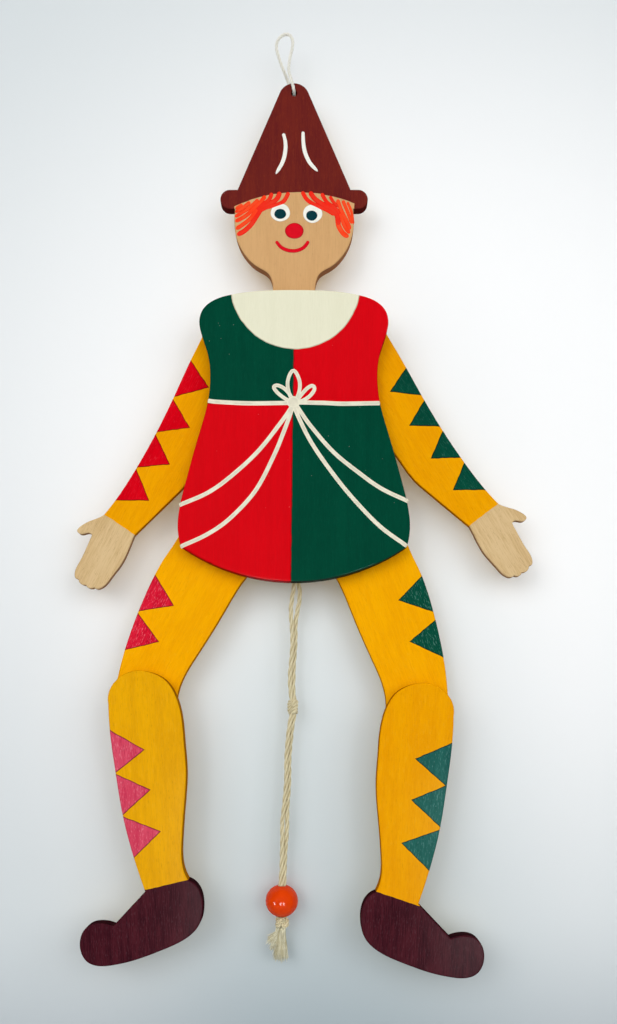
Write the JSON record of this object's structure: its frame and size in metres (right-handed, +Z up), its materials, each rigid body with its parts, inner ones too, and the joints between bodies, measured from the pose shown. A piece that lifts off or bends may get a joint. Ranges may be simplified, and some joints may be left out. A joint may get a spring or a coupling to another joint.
{
  "type": "jumping jack puppet",
  "caption": "Flat wooden jumping jack with hinged arms and legs; pulling the beaded cord below it lifts them.",
  "frame": {"origin": "the nail, at the inside of the top of the hanging loop", "axes": "+X to the right seen from the front, +Y away from the viewer, +Z up"},
  "size_m": [0.2337, 0.0254, 0.4807],
  "materials": {
    "torso_paint": "gloss paint in red and dark green quarters on wood",
    "head_paint": "clear varnished face with a stained brown hat",
    "yellow_sleeve": "yellow paint with red or green triangles, and a bare wooden hand",
    "yellow_leg": "yellow paint with red or green triangles, and a stained brown shoe",
    "orange_paint": "orange gloss paint on a turned wooden ball",
    "bare_wood": "turned beech, uncoated",
    "cotton_cord": "plied natural cotton cord",
    "white_cord": "plied off-white cotton cord"
  },
  "bodies": {
    "trunk": {"torso_board": "torso_paint", "head_hat_board": "head_paint", "shoulder_peg_left": "bare_wood", "shoulder_peg_right": "bare_wood", "hip_peg_left": "bare_wood", "hip_peg_right": "bare_wood", "hanging_loop": "white_cord", "hanging_loop_knot": "white_cord"},
    "left_arm": {"arm_left": "yellow_sleeve"},
    "left_thigh": {"thigh_left": "yellow_leg"},
    "left_shin": {"shin_left": "yellow_leg", "knee_peg_left": "bare_wood"},
    "left_arm_string": {"arm_string_left": "cotton_cord", "arm_stopper_knot_left": "cotton_cord"},
    "left_leg_string": {"leg_string_left": "cotton_cord", "leg_stopper_knot_left": "cotton_cord"},
    "right_arm": {"arm_right": "yellow_sleeve"},
    "right_thigh": {"thigh_right": "yellow_leg"},
    "right_shin": {"shin_right": "yellow_leg", "knee_peg_right": "bare_wood"},
    "right_arm_string": {"arm_string_right": "cotton_cord", "arm_stopper_knot_right": "cotton_cord"},
    "right_leg_string": {"leg_string_right": "cotton_cord", "leg_stopper_knot_right": "cotton_cord"},
    "pull_cord": {"arm_string_centre_knot": "cotton_cord", "leg_string_centre_knot": "cotton_cord", "pull_cord_arm_strand": "cotton_cord", "pull_cord_leg_strand": "cotton_cord", "pull_cord_middle_knot": "cotton_cord", "pull_cord_lower_arm_strand": "cotton_cord", "pull_cord_lower_leg_strand": "cotton_cord", "pull_bead": "orange_paint", "pull_cord_end_knot": "cotton_cord", "pull_cord_tassel": "cotton_cord"}
  },
  "joints": [
    {"name": "left_hip", "type": "hinge", "parent": "trunk", "child": "left_thigh", "pos_m": [-0.02115, 0.0003, -0.2537], "axis": [0, 1, 0], "range_deg": [0, 50]},
    {"name": "left_knee", "type": "hinge", "parent": "left_thigh", "child": "left_shin", "pos_m": [-0.07015, 0.0003, -0.3385], "axis": [0, 1, 0], "range_deg": [-20, 60]},
    {"name": "left_shoulder", "type": "hinge", "parent": "trunk", "child": "left_arm", "pos_m": [-0.02565, -0.0007, -0.1493], "axis": [0, 1, 0], "range_deg": [0, 75]},
    {"name": "left_arm_string_turn", "type": "hinge", "parent": "left_arm", "child": "left_arm_string", "pos_m": [-0.01799, -0.0007, -0.14287], "axis": [0, 1, 0], "range_deg": [-72, 0]},
    {"name": "left_leg_string_turn", "type": "hinge", "parent": "left_thigh", "child": "left_leg_string", "pos_m": [-0.01465, 0.0003, -0.24244], "axis": [0, 1, 0], "range_deg": [-35, 0]},
    {"name": "right_hip", "type": "hinge", "parent": "trunk", "child": "right_thigh", "pos_m": [0.02885, 0.0003, -0.2537], "axis": [0, -1, 0], "range_deg": [0, 50]},
    {"name": "right_knee", "type": "hinge", "parent": "right_thigh", "child": "right_shin", "pos_m": [0.06494, 0.0003, -0.34475], "axis": [0, -1, 0], "range_deg": [-20, 60]},
    {"name": "right_shoulder", "type": "hinge", "parent": "trunk", "child": "right_arm", "pos_m": [0.03335, -0.0007, -0.1493], "axis": [0, -1, 0], "range_deg": [0, 75]},
    {"name": "right_arm_string_turn", "type": "hinge", "parent": "right_arm", "child": "right_arm_string", "pos_m": [0.02569, -0.0007, -0.14287], "axis": [0, -1, 0], "range_deg": [-72, 0]},
    {"name": "right_leg_string_turn", "type": "hinge", "parent": "right_thigh", "child": "right_leg_string", "pos_m": [0.02235, 0.0003, -0.24244], "axis": [0, -1, 0], "range_deg": [-35, 0]},
    {"name": "pull", "type": "slide", "parent": "trunk", "child": "pull_cord", "axis": [0, 0, -1], "range_m": [0, 0.013]}
  ],
  "couplings": [
    {"joint": "left_shoulder", "follows": "left_hip", "ratio": 1.5},
    {"joint": "left_arm_string_turn", "follows": "left_hip", "ratio": -1.44},
    {"joint": "left_leg_string_turn", "follows": "left_hip", "ratio": -0.7},
    {"joint": "right_hip", "follows": "left_hip", "ratio": 1},
    {"joint": "right_shoulder", "follows": "left_hip", "ratio": 1.5},
    {"joint": "right_arm_string_turn", "follows": "left_hip", "ratio": -1.44},
    {"joint": "right_leg_string_turn", "follows": "left_hip", "ratio": -0.7},
    {"joint": "pull", "follows": "left_hip", "m_per_rad": 0.014896}
  ]
}
